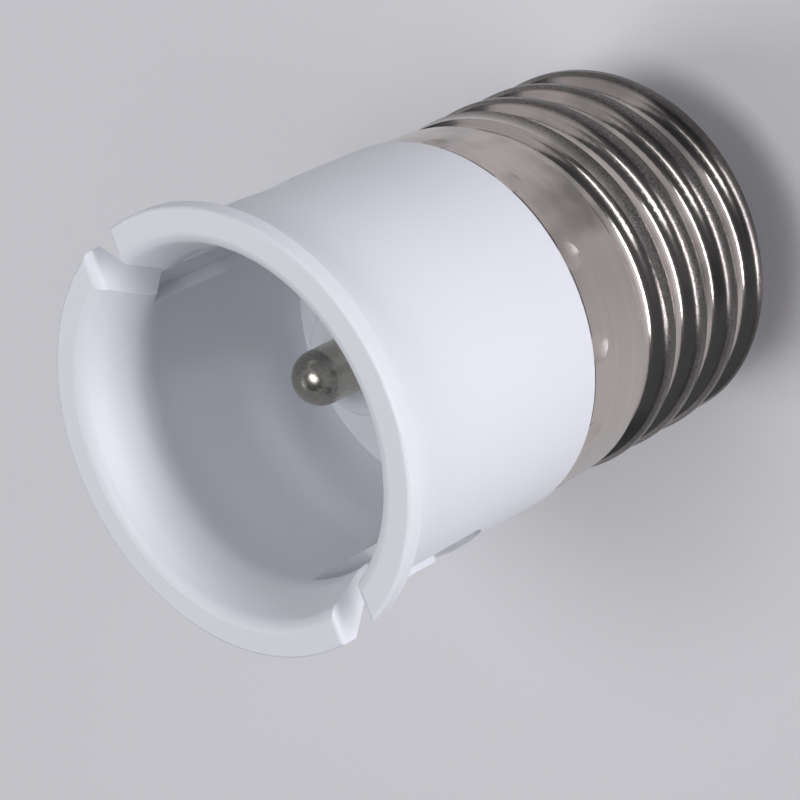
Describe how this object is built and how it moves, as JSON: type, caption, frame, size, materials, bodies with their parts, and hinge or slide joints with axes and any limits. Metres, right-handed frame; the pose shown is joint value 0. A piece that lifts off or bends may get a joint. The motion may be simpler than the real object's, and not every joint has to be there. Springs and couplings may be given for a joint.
{
  "type": "lamp socket adapter",
  "caption": "White moulded adapter with an Edison screw cap at one end and a bayonet lamp socket with two sprung contact plungers at the other.",
  "frame": {"origin": "on the axis, at the flat end of the centre contact that the adapter stands on", "axes": "+Z along the axis from the centre contact to the mouth of the socket, +X towards the middle of one bayonet slot"},
  "size_m": [0.0296, 0.0298, 0.0479],
  "materials": {
    "moulding_white": "smooth moulded, slightly glossy",
    "nickel_shell": "bright nickel plate on rolled sheet, finely streaked",
    "nickel_plunger": "polished nickel plate",
    "spring_steel": "drawn wire",
    "brass_strip": "plain sheet",
    "backing_plate": "matt",
    "black_insulator": "smooth moulded",
    "contact_metal": "plated, lightly scuffed",
    "copper_wire": "bare wire"
  },
  "bodies": {
    "socket": {"socket_body": "moulding_white", "screw_shell": "nickel_shell", "rear_plate": "backing_plate", "strip_shell": "brass_strip", "strip_centre": "brass_strip", "tip_insulator": "black_insulator", "centre_contact": "contact_metal", "lead_centre": "copper_wire", "lead_shell": "copper_wire", "spring_a": "spring_steel", "spring_b": "spring_steel"},
    "plunger_a": {"plunger_a": "nickel_plunger"},
    "plunger_b": {"plunger_b": "nickel_plunger"}
  },
  "joints": [
    {"name": "plunger_a_slide", "type": "slide", "parent": "socket", "child": "plunger_a", "axis": [0, 0, -1], "range_m": [0, 0.004], "stiffness_N_per_m": 1000, "springref_m": -0.002, "deforming": ["spring_a"]},
    {"name": "plunger_b_slide", "type": "slide", "parent": "socket", "child": "plunger_b", "axis": [0, 0, -1], "range_m": [0, 0.004], "stiffness_N_per_m": 1000, "springref_m": -0.002, "deforming": ["spring_b"]}
  ]
}
